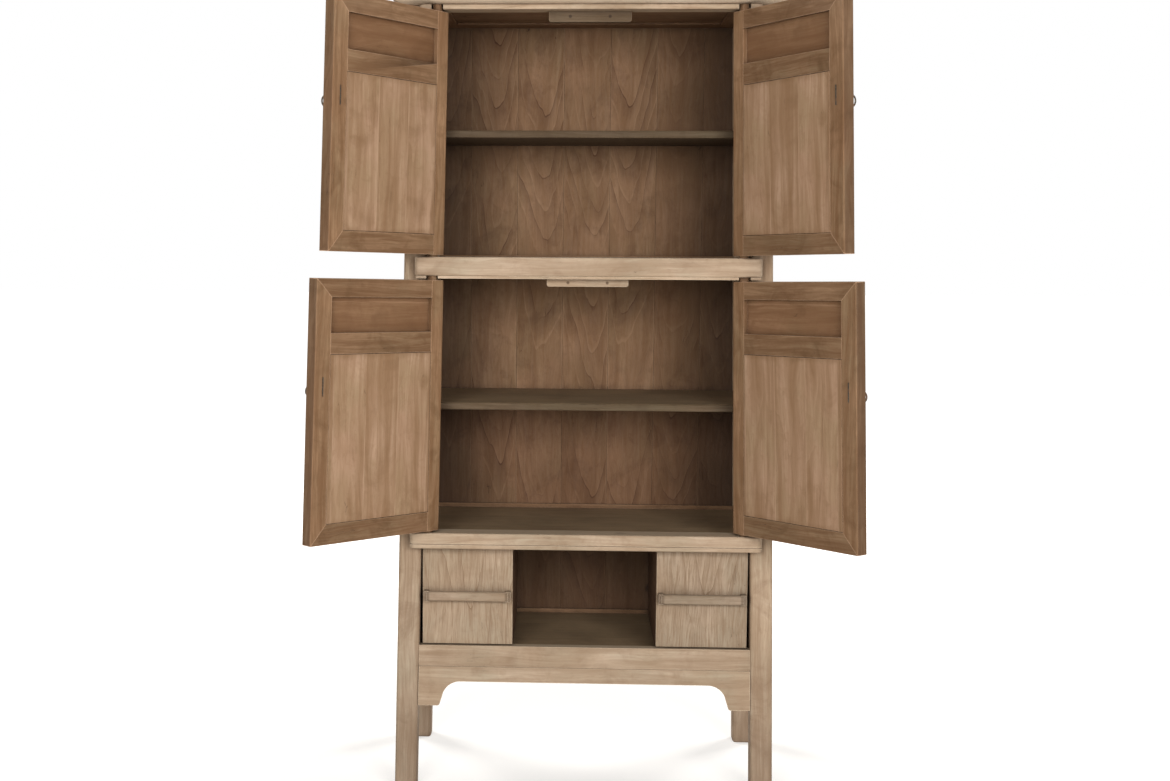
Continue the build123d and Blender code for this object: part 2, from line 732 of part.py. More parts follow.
def door_pieces(side_name, storey, angle, opening_bottom, opening_top, socket_z):
    side = sides[side_name]
    turn = swing(side, angle)
    bottom = opening_bottom + door_bottom_gap
    top = opening_top - door_top_gap
    lower_pin_end = opening_bottom - pin_length
    upper_pin_end = socket_z + pin_length
    face_y = pivot_y - door_thickness / 2
    name = f"{storey}_{side_name}"

    def upright(y):
        return Plane(turn * front_plane(y).location)

    def level(z):
        return Plane(turn * Plane.XY.offset(z).location)

    def hinge_section(z):
        return Plane(turn * lean_plane(side, pivot_x(z), z, pivot_y).location)

    def inner_edge(z):
        return pivot_x(z) + hinge_reach - hinge_stile_width

    free_edge = door_gap / 2
    stile_edge = free_edge + free_stile_width
    panel_bottom = bottom + door_bottom_rail
    top_rail_bottom = top - door_top_rail
    lock_top = top_rail_bottom - door_top_panel
    lock_bottom = lock_top - door_lock_rail

    def panel_corners(low, high, lap):
        # corners of a panel that laps into its frame, or stops short of it for a negative lap
        low_edge = low - lap
        high_edge = high + lap
        return [
            (side * (stile_edge - lap), low_edge),
            (side * (inner_edge(low_edge) + lap), low_edge),
            (side * (inner_edge(high_edge) + lap), high_edge),
            (side * (stile_edge - lap), high_edge),
        ]

    # both panels float in grooves, and the tall one has a raised field on the inside
    with BuildPart() as panels:
        for low, high in ((panel_bottom, lock_bottom), (lock_top, top_rail_bottom)):
            with BuildSketch(upright(face_y + door_thickness - door_panel_inset)):
                with BuildLine():
                    Polyline(*panel_corners(low, high, door_groove), close=True)
                make_face()
            extrude(amount=door_panel_thickness)
        field_plane = upright(face_y + door_thickness + door_field_rise)
        with BuildSketch(field_plane):
            with BuildLine():
                Polyline(*panel_corners(panel_bottom, lock_bottom, -door_field_gap), close=True)
            make_face()
        extrude(amount=door_panel_inset + door_field_rise)
        field_face = panels.faces().sort_by(Axis(field_plane.origin, field_plane.z_dir))[0]
        fillet(field_face.edges(), door_field_round)
    save(panels.part, f"door_panels_{name}")

    # waste outside the rounded free edge
    with BuildPart() as edge_waste:
        with BuildSketch(level(bottom)):
            with Locations((side * (free_edge + free_edge_round / 2), pivot_y)):
                Rectangle(free_edge_round, door_thickness)
            with Locations((side * (free_edge + free_stile_width / 2), pivot_y)):
                RectangleRounded(free_stile_width, door_thickness, free_edge_round, mode=Mode.SUBTRACT)
        extrude(amount=top - bottom)

    # three rails: the outer two are mitred to the free stile and all butt the hinge stile
    with BuildPart() as rails:
        for low, high, low_corner, high_corner in (
            (bottom, panel_bottom, free_edge, stile_edge),
            (lock_bottom, lock_top, stile_edge, stile_edge),
            (top_rail_bottom, top, stile_edge, free_edge),
        ):
            with BuildSketch(upright(face_y)):
                with BuildLine():
                    Polyline(
                        (side * low_corner, low),
                        (side * inner_edge(low), low),
                        (side * inner_edge(high), high),
                        (side * high_corner, high),
                        close=True,
                    )
                make_face()
            extrude(amount=-door_thickness)
            tenon_start = stile_edge - door_tenon_length
            tenon_end = inner_edge(low) + door_tenon_length
            with BuildSketch(upright(face_y + (door_thickness - door_tenon_thickness) / 2)):
                with Locations((side * (tenon_start + tenon_end) / 2, (low + high) / 2)):
                    Rectangle(tenon_end - tenon_start, high - low - 2 * door_tenon_shoulder)
            extrude(amount=-door_tenon_thickness)
        add(panels.part, mode=Mode.SUBTRACT)
        add(edge_waste.part, mode=Mode.SUBTRACT)
    save(rails.part, f"door_rails_{name}")

    with BuildPart() as free_stile:
        with BuildSketch(upright(face_y)):
            with BuildLine():
                Polyline(
                    (side * free_edge, bottom),
                    (side * stile_edge, panel_bottom),
                    (side * stile_edge, top_rail_bottom),
                    (side * free_edge, top),
                    close=True,
                )
            make_face()
        extrude(amount=-door_thickness)
        add(panels.part, mode=Mode.SUBTRACT)
        add(rails.part, mode=Mode.SUBTRACT)
        add(edge_waste.part, mode=Mode.SUBTRACT)

    # hinge stile with a pin turned on each end
    with BuildPart() as hinge_stile:
        section_centre = side * (hinge_reach - hinge_stile_width / 2)
        with BuildSketch(hinge_section(bottom - leg_size)) as section:
            with Locations((section_centre, 0)):
                Rectangle(hinge_stile_width, door_thickness)
            outer_corners = section.vertices().group_by(Axis.X)[-1 if side > 0 else 0]
            fillet(outer_corners, hinge_stile_round)
        extrude(amount=up_lean(top - bottom + 2 * leg_size))
        split(bisect_by=level(bottom), keep=Keep.TOP)
        split(bisect_by=level(top), keep=Keep.BOTTOM)
        with BuildSketch(hinge_section(lower_pin_end)):
            Circle(pin_radius)
        extrude(amount=up_lean(upper_pin_end - lower_pin_end))
        add(panels.part, mode=Mode.SUBTRACT)
        add(rails.part, mode=Mode.SUBTRACT)
    save(hinge_stile.part, f"hinge_stile_{name}")

    # ring pull: plate, split pin with an eye, and the ring that hangs in the eye
    pull_z = (bottom + top) / 2 + pull_above_middle
    pull_place = (side * pull_x, pull_z)
    eye_plane = Plane(upright(face_y).location * Location((side * pull_x, pull_z, eye_standoff)))
    back_y = face_y + door_thickness
    with BuildPart() as pull_mount:
        with BuildSketch(upright(face_y)):
            with Locations(pull_place):
                Circle(plate_radius)
        extrude(amount=plate_rise, taper=plate_slope)
        with BuildSketch(upright(back_y)):
            with Locations(pull_place):
                Circle(eye_wire)
        extrude(amount=door_thickness + eye_standoff - eye_radius)
        eye_profile = Plane(origin=eye_plane.origin, x_dir=eye_plane.z_dir, z_dir=eye_plane.y_dir)
        with BuildSketch(eye_profile):
            with Locations((eye_radius, 0)):
                Circle(eye_wire)
        revolve(axis=Axis(eye_plane.origin, eye_plane.x_dir), revolution_arc=360)
        with BuildSketch(upright(back_y)):
            with Locations(pull_place):
                Rectangle(pin_leg_width, 2 * pin_leg_length)
        extrude(amount=-pin_leg_thickness)
    save(pull_mount.part, f"pull_mount_{name}")

    with BuildPart() as pull_ring:
        ring_profile = Plane(origin=eye_plane.origin, x_dir=eye_plane.y_dir, z_dir=eye_plane.x_dir)
        with BuildSketch(ring_profile):
            Circle(ring_wire)
        ring_centre = eye_plane.origin - eye_plane.y_dir * ring_radius
        revolve(axis=Axis(ring_centre, eye_plane.z_dir), revolution_arc=360)
    save(pull_ring.part, f"pull_ring_{name}")

    with BuildPart() as drilled_stile:
        add(free_stile.part)
        add(pull_mount.part, mode=Mode.SUBTRACT)
    save(drilled_stile.part, f"free_stile_{name}")


lower_storey = (lower_opening_z, mid_lip_z, mid_rail_z)
upper_storey = (upper_opening_z, top_rail_z, carcass_height)
door_pieces("left", "upper", angle_upper_left, *upper_storey)
door_pieces("right", "upper", angle_upper_right, *upper_storey)
door_pieces("left", "lower", angle_lower_left, *lower_storey)
door_pieces("right", "lower", angle_lower_right, *lower_storey)
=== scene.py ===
import json
import math
import random
from functools import partial

import bpy
from mathutils import Matrix, Vector

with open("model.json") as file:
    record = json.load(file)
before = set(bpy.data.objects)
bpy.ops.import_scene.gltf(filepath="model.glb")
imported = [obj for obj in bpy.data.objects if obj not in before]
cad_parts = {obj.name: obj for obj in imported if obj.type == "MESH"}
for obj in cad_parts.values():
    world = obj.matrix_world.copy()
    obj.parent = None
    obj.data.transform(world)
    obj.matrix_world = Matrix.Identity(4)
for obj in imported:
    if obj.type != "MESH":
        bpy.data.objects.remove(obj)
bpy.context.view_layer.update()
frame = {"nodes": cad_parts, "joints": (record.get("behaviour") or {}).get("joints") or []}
nodes = frame["nodes"]
joints = {joint["name"]: joint for joint in frame["joints"]}
print("frame loaded:", len(nodes), "nodes")


# small helpers

def linear(hexColour):
    values = [int(hexColour[i:i + 2], 16) / 255 for i in (1, 3, 5)]
    return [v / 12.92 if v <= 0.04045 else ((v + 0.055) / 1.055) ** 2.4 for v in values] + [1.0]


def addNode(tree, kind, inputs=None, **settings):
    # inputs: socket name or number to a value, another node or one of its outputs
    node = tree.nodes.new("ShaderNode" + kind)
    for name, value in settings.items():
        setattr(node, name, value)
    for key, value in (inputs or {}).items():
        if isinstance(key, str):
            socket = next(s for s in node.inputs if s.enabled and s.name == key)
        else:
            socket = node.inputs[key]
        if isinstance(value, bpy.types.Node):
            value = next(output for output in value.outputs if output.enabled)
        if isinstance(value, bpy.types.NodeSocket):
            tree.links.new(value, socket)
        else:
            socket.default_value = value
    return node


def newMaterial(name):
    material = bpy.data.materials.new(name)
    material.use_nodes = True
    material.node_tree.nodes.clear()
    return material, partial(addNode, material.node_tree)


def seenDirectly(add):
    # 1 for what the camera or a reflection sees, 0 for the light that falls on other things
    rays = add("LightPath")
    return add("Math", {0: rays.outputs["Is Camera Ray"], 1: rays.outputs["Is Glossy Ray"]},
               operation="MAXIMUM")


# camera, at the height of someone standing in front

viewpoint = {
    "place": (-0.0443, -3.9816, 1.332),  # metres
    "yaw": 2.60, "pitch": -5.67, "roll": 0.26,  # degrees
    "lens": 50.02, "sensor": 36.0,  # mm
    "shiftX": 0.0779,
}


def addCamera(look):
    data = bpy.data.cameras.new("camera")
    data.lens = look["lens"]
    data.sensor_width = look["sensor"]
    data.shift_x = look["shiftX"]
    camera = bpy.data.objects.new("camera", data)
    bpy.context.scene.collection.objects.link(camera)
    turn = Matrix.Rotation(math.radians(look["yaw"]), 4, "Z")
    tip = Matrix.Rotation(math.radians(90 + look["pitch"]), 4, "X")
    roll = Matrix.Rotation(math.radians(look["roll"]), 4, "Z")
    camera.matrix_world = Matrix.Translation(look["place"]) @ turn @ tip @ roll
    bpy.context.scene.camera = camera


addCamera(viewpoint)
bpy.context.scene.view_settings.view_transform = "Standard"
print("camera placed")


# studio: a softbox on each side of the camera, the right one a little stronger, two higher ones
# behind for the sides, the back and the top, and a dim white room

studio = {
    "air": "#FFFFFF", "airStrength": 0.26,
    "paper": "#DEDBD6", "paperGlow": "#FFFFFF",
    "paperReach": 30.0,  # metres from the object to the edge of the paper
    "liftReach": (0.6, 1.9), "paperLift": (0.40, 1.0),  # metres from the object, and the glow there
    "softboxes": {  # place and size in metres, power in watts
        "rightSoftbox": {"place": (1.65, -4.4, 1.9), "size": (1.9, 1.5), "power": 125},
        "leftSoftbox": {"place": (-1.25, -4.4, 1.9), "size": (1.4, 1.5), "power": 91},
        "rearRightSoftbox": {"place": (3.4, 3.2, 3.3), "size": (1.8, 1.8), "power": 150},
        "rearLeftSoftbox": {"place": (-3.4, 3.2, 3.3), "size": (1.8, 1.8), "power": 150},
    },
    "aim": (0.0, 0.0, 1.25),
}


def addWorld(look):
    world = bpy.data.worlds.new("studioAir")
    world.use_nodes = True
    world.node_tree.nodes.clear()
    add = partial(addNode, world.node_tree)
    strength = add("MapRange", {"Value": seenDirectly(add), "To Min": look["airStrength"], "To Max": 1.0})
    air = add("Background", {"Color": linear(look["air"]), "Strength": strength})
    add("OutputWorld", {"Surface": air})
    bpy.context.scene.world = world


def addSoftboxes(look):
    for name, box in look["softboxes"].items():
        data = bpy.data.lights.new(name, "AREA")
        data.shape = "RECTANGLE"
        data.size, data.size_y = box["size"]
        data.energy = box["power"]
        lamp = bpy.data.objects.new(name, data)
        bpy.context.scene.collection.objects.link(lamp)
        lamp.location = box["place"]
        lamp.rotation_mode = "QUATERNION"
        lamp.rotation_quaternion = (Vector(look["aim"]) - Vector(box["place"])).to_track_quat("-Z", "Y")


def addFloor(look):
    # a paper sweep, washed out to white away from the object, which keeps its soft shadow
    mesh = bpy.data.meshes.new("paperSweep")
    reach = look["paperReach"]
    corners = [(-reach, -reach, 0), (reach, -reach, 0), (reach, reach, 0), (-reach, reach, 0)]
    mesh.from_pydata(corners, [], [(0, 1, 2, 3)])
    floor = bpy.data.objects.new("paperSweep", mesh)
    bpy.context.scene.collection.objects.link(floor)
    material, add = newMaterial("whitePaper")
    place = add("TexCoord")
    away = add("VectorMath", {0: place.outputs["Object"]}, operation="LENGTH")
    near, far = look["liftReach"]
    nearLift, farLift = look["paperLift"]
    lift = add("MapRange", {"Value": away.outputs["Value"], "From Min": near, "From Max": far,
                            "To Min": nearLift, "To Max": farLift}, interpolation_type="SMOOTHSTEP")
    strength = add("Math", {0: lift, 1: seenDirectly(add)}, operation="MULTIPLY")
    paper = add("BsdfDiffuse", {"Color": linear(look["paper"])})
    glow = add("Emission", {"Color": linear(look["paperGlow"]), "Strength": strength})
    both = add("AddShader", {0: paper, 1: glow})
    add("OutputMaterial", {"Surface": both})
    mesh.materials.append(material)


addWorld(studio)
addSoftboxes(studio)
addFloor(studio)
print("studio lit")


# Old elm. Northern elm, planed by hand, never varnished, washed and left dry: matte and open grained,
# with broad arched figures on flat-sawn boards and straight lines on narrow rails.

elmLooks = {
    # outside and front: bleached by light and hands, a dusty beige
    "bleached": {"main": "#AB947B", "pale": "#BAA48D", "deep": "#927A62", "line": "#7C624B",
                 "dirtAndShade": "#503C2B", "worn": "#D0BCA3", "dust": "#A7957E", "cool": "#9C907A"},
    # under the cap: the palest look, as painted light on the underside
    "paintedLitUnderside": {"main": "#D6C0A8", "pale": "#E0CDB8", "deep": "#C4AD94", "line": "#AE977F",
                  "dirtAndShade": "#6E5844", "worn": "#E6D6C0", "dust": "#BBA992", "cool": "#CCBDA6"},
    # door frames, on the inside: kept from the light, warm brown
    "frame": {"main": "#84654A", "pale": "#96775A", "deep": "#6D4F35", "line": "#5A3F26",
              "dirtAndShade": "#352113", "worn": "#B09074", "dust": "#7F6A50", "cool": "#77644A"},
    # broad panels of the doors, on the inside: rubbed paler than their frames
    "panel": {"main": "#A4846A", "pale": "#B5967C", "deep": "#88694D", "line": "#6F5135",
              "dirtAndShade": "#4A3220", "worn": "#BC9E84", "dust": "#A0876B", "cool": "#968060"},
    # small upper panels of the doors: as brown as the frames
    "smallPanel": {"main": "#856347", "pale": "#957255", "deep": "#6E4E34", "line": "#573A24",
                   "dirtAndShade": "#382414", "worn": "#B38F70", "dust": "#75604A", "cool": "#786043"},
    # boards inside the cupboards
    "inside": {"main": "#846448", "pale": "#967559", "deep": "#6D4E34", "line": "#472B1B",
               "dirtAndShade": "#2A1B10", "worn": "#9E7E61", "dust": "#5F503C", "cool": "#7A6347"},
    # the same boards lower down: darker still
    "insideLow": {"main": "#77573E", "pale": "#86654B", "deep": "#61432C", "line": "#422718",
                  "dirtAndShade": "#25170D", "worn": "#8B6B50", "dust": "#554430", "cool": "#6E563D"},
    # shelves: handled, dusty and a little olive
    "shelf": {"main": "#5A4936", "pale": "#685642", "deep": "#4A3926", "line": "#3C2B1B",
              "dirtAndShade": "#2D1F14", "worn": "#817059", "dust": "#927B5E", "cool": "#574C37"},
}

cuts = {
    # spacing: mm between year rings; taper: how blunt the arches are; depth, offset: mm from the face and
    # the middle to the heart; waver: mm the grain wanders; band, thread: width in mm of the soft bands and
    # of the fine threads; lines, shine, bands, threads, stains: how strongly the dark lines, the pale
    # edges beside them, the bands, the threads and the old stains show
    "arched": {"spacing": 19.0, "taper": 0.21, "depth": 17.0, "offset": 0.0, "waver": 15.0, "band": 24.0,
               "thread": 5.0, "lines": 1.0, "shine": 0.8, "bands": 0.6, "threads": 0.22, "stains": 0.38},
    "faint": {"spacing": 24.0, "taper": 0.08, "depth": 30.0, "offset": 30.0, "waver": 14.0, "band": 26.0,
              "thread": 7.0, "lines": 0.25, "shine": 0.3, "bands": 1.0, "threads": 0.35, "stains": 0.38},
    "straight": {"spacing": 8.0, "taper": 0.012, "depth": 60.0, "offset": 170.0, "waver": 9.0, "band": 18.0,
                 "thread": 5.0, "lines": 0.38, "shine": 0.2, "bands": 0.7, "threads": 0.4, "stains": 0.38},
    "rubbed": {"spacing": 9.0, "taper": 0.015, "depth": 60.0, "offset": 150.0, "waver": 12.0, "band": 16.0,
               "thread": 4.0, "lines": 0.55, "shine": 0.3, "bands": 0.85, "threads": 0.6, "stains": 0.6},
    "combed": {"spacing": 15.0, "taper": 0.15, "depth": 12.0, "offset": 12.0, "waver": 12.0, "band": 16.0,
               "thread": 3.5, "lines": 1.0, "shine": 0.1, "bands": 0.4, "threads": 0.95, "stains": 0.3},
}

# what every board has in common
elmSurface = {
    "log": 3.0,  # metres either way along the log that a board may come from
    "toneSpread": 0.03,  # how much lighter or darker a board may be than its tone says
    "patch": 200.0, "mottle": 26.316, "stain": 90.909,  # mm
    "wander": (104.167, 4), "pore": (1.1905, 14),  # width in mm, length in widths; real pores are 0.3 mm
    "bandLength": 16, "threadLength": 30,  # in widths
    "sway": 5.0,  # noise keeps near its middle, and this brings it out as far as the grain wavers
    "knots": (384.615, 250.0, 250.0),  # mm between them, along and across
    "knot": (0.018, 0.05),  # its dark middle and its edge, in shares of that distance
    "crack": (0.56, 0.0035),  # the value of the bands that it follows, and how far it spreads from it
    "plankShift": (2.3, 0.07, 0.010),  # metres in the log between the planks of one surface
    "seam": (3.0, 1.2),  # mm from the joint of two planks, where its rubbing starts and is full
    "border": (24.0, 44.0), "borderRagged": 50.0,  # mm, where a border stain fades and how ragged it is
    "darkFootColour": "#7A6553", "darkFootRagged": 0.5,  # metres
    "threadDepth": -0.5, "ringDepth": 0.25, "poreDepth": -0.25, "flawDepth": -1.2,  # shares of the relief
    "relief": 1.2, "reliefStrength": 0.45,  # mm
    "rough": (0.64, 0.86), "ior": 1.45, "gloss": 0.3,
}

# the course of a year across the grain, in years from its dark line, and how strongly it shows
elmYear = {
    "line": 0.11, "fading": 0.75, "fadingShade": 0.4,
    "edge": (0.80, 0.95), "edgeShine": 0.5,  # the pale edge before the next line
    "weakest": 0.05, "broken": 0.15,  # what is left of a line in a weak year, and where it is broken
}

# values of the noise where each pattern starts and where it is full
elmPatterns = {
    "pale": (0.38, 0.66), "cool": (0.44, 0.62), "bands": (0.36, 0.64), "threads": (0.42, 0.66),
    "pores": (0.58, 0.70), "specks": (0.56, 0.70), "stains": (0.52, 0.70), "cracked": (0.57, 0.63),
    "seasons": (0.2, 0.9), "broken": (0.42, 0.58), "seams": (0.45, 0.6), "rough": (0.3, 0.7),
    "rubbing": (0.35, 0.62), "swept": (0.35, 0.65), "grime": (0.3, 0.7),
}

# how strongly each mark shows, besides those in the cut
elmShades = {
    "pale": 1.0, "cool": 0.55, "pores": 1.0, "poreColour": 0.22, "specks": 0.35, "flaws": 0.85,
    "planks": 0.35, "seams": 0.55, "pegs": 0.8, "border": 0.5, "darkFoot": 0.6,
}

elmHandling = {
    "bend": (0.985, 0.90),  # cosine between a face and its rounded arris, where it starts and is full
    "rubbing": (0.35, 0.85),  # least and most
    "corner": 30.0,  # mm that the painted shade and dirt reach out of a corner
    "open": (0.30, 0.80),  # share of a spot that is open, where the painted corner shade and dirt are full and where they have gone
    "dirtAndShade": (0.4, 0.8),  # least and most
    "level": (0.7, 0.97),  # how far a face looks up, where dust starts and is full
    "dust": 0.85, "swept": 0.55,  # how strongly, and what is left of it where it is swept
    "outward": (0.3, 0.6),  # how far a face looks outside, where it starts and is fully bleached
    "flank": (0.6, 0.9),  # how far a face looks sideways, where its painted shade starts and is full
}

# what may differ from piece to piece
elmOptions = {
    "arris": 2.5,  # mm, how far from an arris it is rubbed
    "wear": 1.0,  # how strongly
    "tone": 0.0,  # how much lighter or darker than its look
    "boards": 0,  # mm, the width of the planks that a surface is made of
    "outside": None,  # the direction of the bleached face of a board that has another look inside
    "mirrored": False,  # that direction points away from the middle on both sides
    "upper": None,  # height in metres, and the look and grain above it
    "border": None,  # metres: half the width, the foot and the head of a field stained along its edge
    "ends": None,  # metres from the middle where a board starts and stops to darken, and how much: painted shade on the back boards and shelves, end grain on the grips
    "shadedBelow": None,  # height in metres under which a board is darker, as painted shade, and how much
    "pegs": None,  # metres: the distance of two pegs from the middle, their heights and radius
    "flanks": 0.0,  # how much darker the sideways faces of a door are, as painted shade
    "darkFoot": 0.0,  # mm, how high above the floor a board is greyed and darker
}


def grainTurn(along, facing):
    # turns the grain to run along X and the face to look along Z
    out = Vector(facing).normalized()
    grain = (Vector(along) - out * Vector(along).dot(out)).normalized()
    return Matrix((grain, out.cross(grain), out))


def placeInBoard(add, spot, home, turn=Matrix.Identity(3), start=Vector()):
    # a spot's place with its door shut, turned and moved into the log
    return add("Mapping", {"Vector": spot, "Location": start + turn @ home.to_translation(),
                           "Rotation": (turn @ home.to_3x3()).to_euler()}, vector_type="POINT")


def mixLooks(add, amount, colours, look):
    return {key: add("Mix", {"Factor": amount, "A": colours[key], "B": linear(value)}, data_type="RGBA")
            for key, value in elmLooks[look].items()}


def alongGrain(add, point, width, length, detail, roughness):
    # noise of a width in mm, as many times as long along the grain
    drawn = add("VectorMath", {0: point, 1: (1 / length, 1.0, 1.0)}, operation="MULTIPLY")
    return add("TexNoise", {"Vector": drawn, "Scale": 1000 / width, "Detail": detail,
                            "Roughness": roughness})


def bleachedFace(add, place, options):
    # 1 on the faces that look outside, 0 on the others
    facing = add("VectorMath", {0: place.outputs["Normal"], 1: options["outside"]}, operation="DOT_PRODUCT")
    outward = facing.outputs["Value"]
    if options["mirrored"]:
        across = add("SeparateXYZ", {0: place.outputs["Object"]})
        side = add("Math", {0: across.outputs["X"]}, operation="SIGN")
        outward = add("Math", {0: outward, 1: side}, operation="MULTIPLY")
    starts, full = elmHandling["outward"]
    return add("MapRange", {"Value": outward, "From Min": starts, "From Max": full})


def intoPlanks(add, point, width):
    # every plank comes from another part of the log, and its long arris is rubbed
    shift = elmSurface["plankShift"]
    parts = add("SeparateXYZ", {0: point})
    row = add("Math", {0: parts.outputs["Y"], 1: 1000 / width}, operation="MULTIPLY")
    number = add("Math", {0: row}, operation="ROUND")
    inPlank = add("Math", {0: row, 1: number}, operation="SUBTRACT")
    plank = add("TexWhiteNoise", {"W": number}, noise_dimensions="1D")
    moved = add("VectorMath", {0: plank.outputs["Color"], 1: shift}, operation="MULTIPLY")
    across = add("Math", {0: inPlank, 1: width / 1000, 2: -shift[1] / 2}, operation="MULTIPLY_ADD")
    flat = add("CombineXYZ", {"X": parts.outputs["X"], "Y": across})
    planked = add("VectorMath", {0: flat, 1: moved}, operation="ADD")
    starts, full = (0.5 - distance / width for distance in elmSurface["seam"])
    fromMiddle = add("Math", {0: inPlank}, operation="ABSOLUTE")
    seam = add("MapRange", {"Value": fromMiddle, "From Min": starts, "From Max": full})
    return planked, plank.outputs["Value"], seam


def yearRings(add, point, swayed, patches, cut):
    # cut lengthways: arches near the heart of the tree and straight lines away from it
    toHeart = (0, cut["offset"] / 1000, cut["depth"] / 1000)
    heart = add("VectorMath", {0: swayed, 1: toHeart}, operation="ADD")
    flat = add("VectorMath", {0: heart, 1: (0, 1, 1)}, operation="MULTIPLY")
    radius = add("VectorMath", {0: flat}, operation="LENGTH")
    lengthways = add("SeparateXYZ", {0: point})
    rise = add("Math", {0: lengthways.outputs["X"], 1: cut["taper"]}, operation="MULTIPLY")
    reach = add("Math", {0: radius.outputs["Value"], 1: rise}, operation="SUBTRACT")
    years = add("Math", {0: reach, 1: 1000 / cut["spacing"]}, operation="MULTIPLY")
    year = add("Math", {0: years}, operation="FLOOR")
    within = add("Math", {0: years}, operation="FRACT")
    # the dark line that ends a year, and its slow fading
    late = add("MapRange", {"Value": within, "From Max": elmYear["line"], "To Min": 1.0, "To Max": 0.0},
               interpolation_type="SMOOTHSTEP")
    early = add("MapRange", {"Value": within, "From Min": elmYear["fading"], "From Max": 0.0,
                             "To Max": elmYear["fadingShade"]}, interpolation_type="SMOOTHSTEP")
    ring = add("Math", {0: late, 1: early}, operation="MAXIMUM")
    # the pale edge beside the dark line
    starts, full = elmYear["edge"]
    shine = add("MapRange", {"Value": within, "From Min": starts, "From Max": full,
                             "To Max": elmYear["edgeShine"]}, interpolation_type="SMOOTHSTEP")
    # some years are stronger than others, and their lines are broken
    season = add("TexWhiteNoise", {"W": year}, noise_dimensions="1D")
    starts, full = elmPatterns["seasons"]
    strength = add("MapRange", {"Value": season.outputs["Value"], "From Min": starts, "From Max": full,
                                "To Min": elmYear["weakest"]}, interpolation_type="SMOOTHSTEP")
    starts, full = elmPatterns["broken"]
    broken = add("MapRange", {"Value": patches.outputs["Blue"], "From Min": starts, "From Max": full,
                              "To Min": elmYear["broken"]})
    for ringFactor, shineFactor in ((strength, strength), (broken, broken), (cut["lines"], cut["shine"])):
        ring = add("Math", {0: ring, 1: ringFactor}, operation="MULTIPLY")
        shine = add("Math", {0: shine, 1: shineFactor}, operation="MULTIPLY")
    return ring, shine


def cracksAndKnots(add, point, band, patches):
    # shrinkage cracks follow some of the bands, and a small knot turns up now and then
    followed, spread = elmSurface["crack"]
    crackLine = add("Math", {0: band, 1: followed}, operation="SUBTRACT")
    crackSide = add("Math", {0: crackLine}, operation="ABSOLUTE")
    crack = add("MapRange", {"Value": crackSide, "From Max": spread, "To Min": 1.0, "To Max": 0.0})
    starts, full = elmPatterns["cracked"]
    cracked = add("MapRange", {"Value": patches.outputs["Green"], "From Min": starts, "From Max": full})
    crack = add("Math", {0: crack, 1: cracked}, operation="MULTIPLY")
    closeness = tuple(1000 / space for space in elmSurface["knots"])
    strewn = add("VectorMath", {0: point, 1: closeness}, operation="MULTIPLY")
    cell = add("TexVoronoi", {"Vector": strewn, "Scale": 1.0, "Randomness": 1.0}, feature="F1")
    middle, edge = elmSurface["knot"]
    knot = add("MapRange", {"Value": cell.outputs["Distance"], "From Min": middle, "From Max": edge,
                            "To Min": 1.0, "To Max": 0.0}, interpolation_type="SMOOTHSTEP")
    return add("Math", {0: crack, 1: knot}, operation="MAXIMUM")


# darkens a board towards its ends: painted shade beside the doors on the back boards and shelves, darker end
# grain on the grips
def darkEnds(add, spot, centre, ends, inner):
    starts, stops, amount = ends
    sideways = add("SeparateXYZ", {0: spot})
    far = add("Math", {0: sideways.outputs["X"], 1: centre[0]}, operation="SUBTRACT")
    far = add("Math", {0: far}, operation="ABSOLUTE")
    dark = add("MapRange", {"Value": far, "From Min": starts, "From Max": stops, "To Max": amount},
               interpolation_type="SMOOTHSTEP")
    return add("Math", {0: dark, 1: inner}, operation="MULTIPLY")


# painted shade: a board is darker below a height, such as the back of the open niche
def paintShadeBelow(add, spot, shadedBelow, inner):
    level, amount = shadedBelow
    upright = add("SeparateXYZ", {0: spot})
    belowShade = add("Math", {0: upright.outputs["Z"], 1: level}, operation="LESS_THAN")
    belowShade = add("Math", {0: belowShade, 1: amount}, operation="MULTIPLY")
    return add("Math", {0: belowShade, 1: inner}, operation="MULTIPLY")


def pegEnds(add, spot, centre, pegs):
    # the ends of the pegs that hold a strip, a little darker than the strip
    fromCentre, *levels, radius = pegs
    parts = add("SeparateXYZ", {0: spot})
    aside = add("Math", {0: parts.outputs["X"], 1: centre[0]}, operation="SUBTRACT")
    aside = add("Math", {0: aside}, operation="ABSOLUTE")
    aside = add("Math", {0: aside, 1: fromCentre}, operation="SUBTRACT")
    heights = [add("Math", {0: parts.outputs["Z"], 1: level}, operation="SUBTRACT") for level in levels]
    heights = [add("Math", {0: height}, operation="ABSOLUTE") for height in heights]
    nearest = add("Math", {0: heights[0], 1: heights[1]}, operation="MINIMUM")
    fromPeg = add("CombineXYZ", {"X": aside, "Y": nearest})
    distance = add("VectorMath", {0: fromPeg}, operation="LENGTH")
    return add("MapRange", {"Value": distance.outputs["Value"], "From Min": radius, "From Max": radius * 1.5,
                            "To Min": elmShades["pegs"], "To Max": 0.0})


